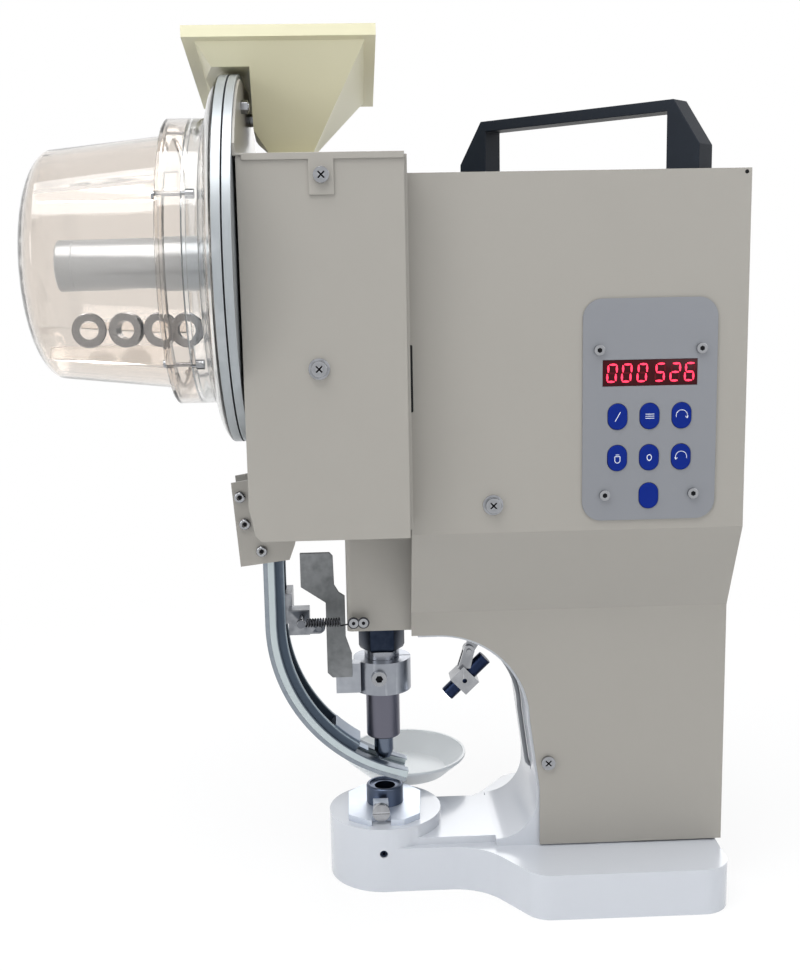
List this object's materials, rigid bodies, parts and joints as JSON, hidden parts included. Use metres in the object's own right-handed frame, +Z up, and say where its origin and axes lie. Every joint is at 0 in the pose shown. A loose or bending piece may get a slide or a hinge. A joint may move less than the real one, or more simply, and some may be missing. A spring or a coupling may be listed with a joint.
{
  "type": "automatic eyelet machine",
  "caption": "Desk machine that feeds eyelets from a turning clear bowl down a curved track and sets them with a motor-driven ram over a deep throat.",
  "frame": {"origin": "on the press axis, on the plane on which the foot stands", "axes": "+X from the press axis towards the rear of the machine, +Y towards the far side with the dish, +Z up; the control panel faces -Y"},
  "size_m": [0.5261, 0.281, 0.66],
  "materials": {
    "white_paint": "smooth white enamel",
    "beige_paint": "fine satin paint, warm beige-grey",
    "cream_plastic": "satin cream",
    "grey_alloy": "satin, turned",
    "steel": "brushed",
    "blue_steel": "smooth, slightly blue",
    "dark_steel": "blackened",
    "bright_screws": "bright zinc",
    "bronze": "turned bronze",
    "clear_plastic": "clear, slightly milky",
    "hub_plastic": "translucent white",
    "handle_plastic": "fine grain, almost black",
    "panel_grey": "satin cool grey",
    "key_blue": "deep blue",
    "display_red": "dark red window, lit digits",
    "black_plastic": "fine grain",
    "motor_paint": "grey enamel",
    "navy_alloy": "anodised navy",
    "pale_plastic": "pale grey",
    "lead_grey": "smooth grey sheath",
    "nut_black": "black oxide",
    "switch_red": "glossy"
  },
  "bodies": {
    "base": {"frame_casting": "white_paint", "ram_housing": "beige_paint", "guide_bushes": "bronze", "cover_near": "beige_paint", "cover_far": "beige_paint", "cover_top_rear": "beige_paint", "carry_handle": "handle_plastic", "control_panel": "panel_grey", "panel_screws": "bright_screws", "display_board": "display_red", "power_supply": "black_plastic", "gear_motor": "motor_paint", "crank_bearings": "steel", "feeder_box": "beige_paint", "feeder_lid": "beige_paint", "funnel": "cream_plastic", "back_plate": "grey_alloy", "feed_chute": "blue_steel", "drum_motor": "motor_paint", "pivot_block": "steel", "anvil_plate": "steel", "lower_die": "dark_steel", "dish": "pale_plastic", "lamp_bracket": "bright_screws", "lamp_lead": "lead_grey", "return_spring": "dark_steel", "rear_inlets": "black_plastic", "body_screws": "bright_screws"},
    "ram_group": {"ram": "steel", "ram_nut": "nut_black", "clamp_collar": "steel", "collar_screw": "bright_screws", "cam_plate": "steel", "die_sleeve": "dark_steel", "pin_spring": "steel"},
    "pin_group": {"locating_pin": "steel"},
    "crank_group": {"crank_shaft": "dark_steel"},
    "drum_group": {"drum_disc": "grey_alloy", "clear_ring": "clear_plastic", "clear_bowl": "clear_plastic", "drum_hub": "hub_plastic", "tie_screws": "bright_screws", "loose_eyelets": "blue_steel"},
    "track_group": {"track_rail": "steel", "track_sides": "blue_steel", "swing_bracket": "beige_paint", "roller_arm": "steel", "gate_finger": "blue_steel"},
    "roller_group": {"track_roller": "dark_steel"},
    "thumb_group": {"thumb_screw": "bright_screws"},
    "lamp_group": {"lamp_body": "navy_alloy", "lamp_clamp": "bright_screws"},
    "rocker_group": {"rocker_switch": "switch_red"},
    "key_feed_group": {"key_feed": "key_blue"},
    "key_menu_group": {"key_menu": "key_blue"},
    "key_forward_group": {"key_forward": "key_blue"},
    "key_lamp_group": {"key_lamp": "key_blue"},
    "key_zero_group": {"key_zero": "key_blue"},
    "key_reverse_group": {"key_reverse": "key_blue"},
    "key_jog_group": {"key_jog": "key_blue"}
  },
  "joints": [
    {"name": "ram_slide", "type": "slide", "parent": "base", "child": "ram_group", "axis": [0, 0, -1], "range_m": [0, 0.038]},
    {"name": "pin_slide", "type": "slide", "parent": "ram_group", "child": "pin_group", "axis": [0, 0, 1], "range_m": [0, 0.017], "stiffness_N_per_m": 400, "springref_m": -0.012, "deforming": ["pin_spring"]},
    {"name": "crank_turn", "type": "hinge", "parent": "base", "child": "crank_group", "pos_m": [0, 0, 0.39], "axis": [1, 0, 0], "range_deg": [0, 180.1]},
    {"name": "track_swing", "type": "hinge", "parent": "base", "child": "track_group", "pos_m": [-0.04, 0, 0.345], "axis": [0, 1, 0], "range_deg": [0, 12.02], "deforming": ["return_spring"]},
    {"name": "roller_spin", "type": "hinge", "parent": "track_group", "child": "roller_group", "pos_m": [-0.0492, -0.0207, 0.213], "axis": [0, 1, 0], "continuous": true},
    {"name": "drum_spin", "type": "hinge", "parent": "base", "child": "drum_group", "pos_m": [-0.15, 0, 0.495], "axis": [1, 0, 0], "continuous": true},
    {"name": "thumb_turn", "type": "hinge", "parent": "base", "child": "thumb_group", "pos_m": [-0.004, -0.033, 0.0622], "axis": [0, 1, 0], "range_deg": [-360, 0]},
    {"name": "lamp_tilt", "type": "hinge", "parent": "base", "child": "lamp_group", "pos_m": [0.07, 0, 0.184], "axis": [0, 1, 0], "range_deg": [-20, 15]},
    {"name": "rocker_tilt", "type": "hinge", "parent": "base", "child": "rocker_group", "pos_m": [0.264, 0.018, 0.116], "axis": [0, 1, 0], "range_deg": [0, 16]},
    {"name": "key_feed_press", "type": "slide", "parent": "base", "child": "key_feed_group", "axis": [0, 1, 0], "range_m": [0, 0.0006], "stiffness_N_per_m": 1000, "springref_m": -0.0008},
    {"name": "key_menu_press", "type": "slide", "parent": "base", "child": "key_menu_group", "axis": [0, 1, 0], "range_m": [0, 0.0006], "stiffness_N_per_m": 1000, "springref_m": -0.0008},
    {"name": "key_forward_press", "type": "slide", "parent": "base", "child": "key_forward_group", "axis": [0, 1, 0], "range_m": [0, 0.0006], "stiffness_N_per_m": 1000, "springref_m": -0.0008},
    {"name": "key_lamp_press", "type": "slide", "parent": "base", "child": "key_lamp_group", "axis": [0, 1, 0], "range_m": [0, 0.0006], "stiffness_N_per_m": 1000, "springref_m": -0.0008},
    {"name": "key_zero_press", "type": "slide", "parent": "base", "child": "key_zero_group", "axis": [0, 1, 0], "range_m": [0, 0.0006], "stiffness_N_per_m": 1000, "springref_m": -0.0008},
    {"name": "key_reverse_press", "type": "slide", "parent": "base", "child": "key_reverse_group", "axis": [0, 1, 0], "range_m": [0, 0.0006], "stiffness_N_per_m": 1000, "springref_m": -0.0008},
    {"name": "key_jog_press", "type": "slide", "parent": "base", "child": "key_jog_group", "axis": [0, 1, 0], "range_m": [0, 0.0006], "stiffness_N_per_m": 1000, "springref_m": -0.0008}
  ],
  "couplings": [
    {"joint": "crank_turn", "follows": "ram_slide", "rad_per_m": 82.673},
    {"joint": "track_swing", "follows": "ram_slide", "rad_per_m": 5.5116}
  ]
}
